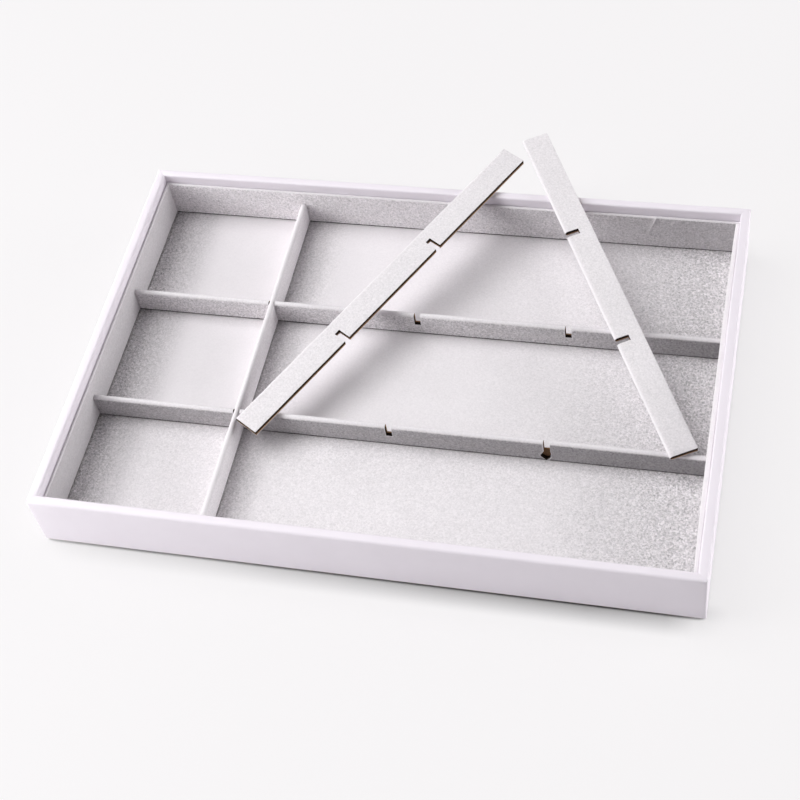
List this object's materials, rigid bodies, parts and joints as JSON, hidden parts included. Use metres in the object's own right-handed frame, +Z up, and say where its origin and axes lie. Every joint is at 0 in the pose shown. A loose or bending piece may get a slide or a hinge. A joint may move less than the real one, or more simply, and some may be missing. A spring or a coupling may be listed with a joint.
{
  "type": "jewelry tray",
  "caption": "Shallow open jewelry tray, white outside and lined in grey suede, with notched divider strips that lift out of a grid; spare strips lie across it over the back rim.",
  "frame": {"origin": "middle of the tray's underside", "axes": "+X along the tray's length to the right, +Y from front to back, +Z up"},
  "size_m": [0.35, 0.2811, 0.0458],
  "materials": {
    "white_leatherette": "smooth matt white leatherette",
    "grey_suede": "light grey suede cloth with a short nap",
    "brown_card": "raw dark brown card",
    "fibreboard": "raw fibreboard",
    "backing_paper": "matt grey card"
  },
  "bodies": {
    "tray": {"base_board": "fibreboard", "front_wall_board": "fibreboard", "back_wall_board": "fibreboard", "left_wall_board": "fibreboard", "right_wall_board": "fibreboard", "white_covering": "white_leatherette", "backing_sheet": "backing_paper", "floor_board": "brown_card", "floor_suede": "grey_suede", "front_liner_board": "brown_card", "front_liner_suede": "grey_suede", "back_liner_board": "brown_card", "back_liner_suede": "grey_suede", "left_liner_board": "brown_card", "left_liner_suede": "grey_suede", "right_liner_board": "brown_card", "right_liner_suede": "grey_suede"},
    "long_divider_front": {"long_divider_front_core": "brown_card", "long_divider_front_suede": "grey_suede"},
    "long_divider_back": {"long_divider_back_core": "brown_card", "long_divider_back_suede": "grey_suede"},
    "cross_divider": {"cross_divider_core": "brown_card", "cross_divider_suede": "grey_suede"},
    "loose_divider_left": {"loose_divider_left_core": "brown_card", "loose_divider_left_suede": "grey_suede"},
    "loose_divider_right": {"loose_divider_right_core": "brown_card", "loose_divider_right_suede": "grey_suede"}
  },
  "joints": [
    {"name": "long_divider_front_lift", "type": "slide", "parent": "tray", "child": "long_divider_front", "axis": [0, 0, 1], "range_m": [0, 0.06]},
    {"name": "long_divider_back_lift", "type": "slide", "parent": "tray", "child": "long_divider_back", "axis": [0, 0, 1], "range_m": [0, 0.06]},
    {"name": "cross_divider_lift", "type": "slide", "parent": "long_divider_front", "child": "cross_divider", "axis": [0, 0, 1], "range_m": [0, 0.045]},
    {"name": "loose_divider_left_lift", "type": "slide", "parent": "long_divider_front", "child": "loose_divider_left", "axis": [0, 0, 1], "range_m": [0, 0.04]},
    {"name": "loose_divider_right_lift", "type": "slide", "parent": "long_divider_front", "child": "loose_divider_right", "axis": [0, 0, 1], "range_m": [0, 0.04]}
  ],
  "couplings": [
    {"joint": "long_divider_back_lift", "follows": "long_divider_front_lift", "ratio": 1}
  ]
}
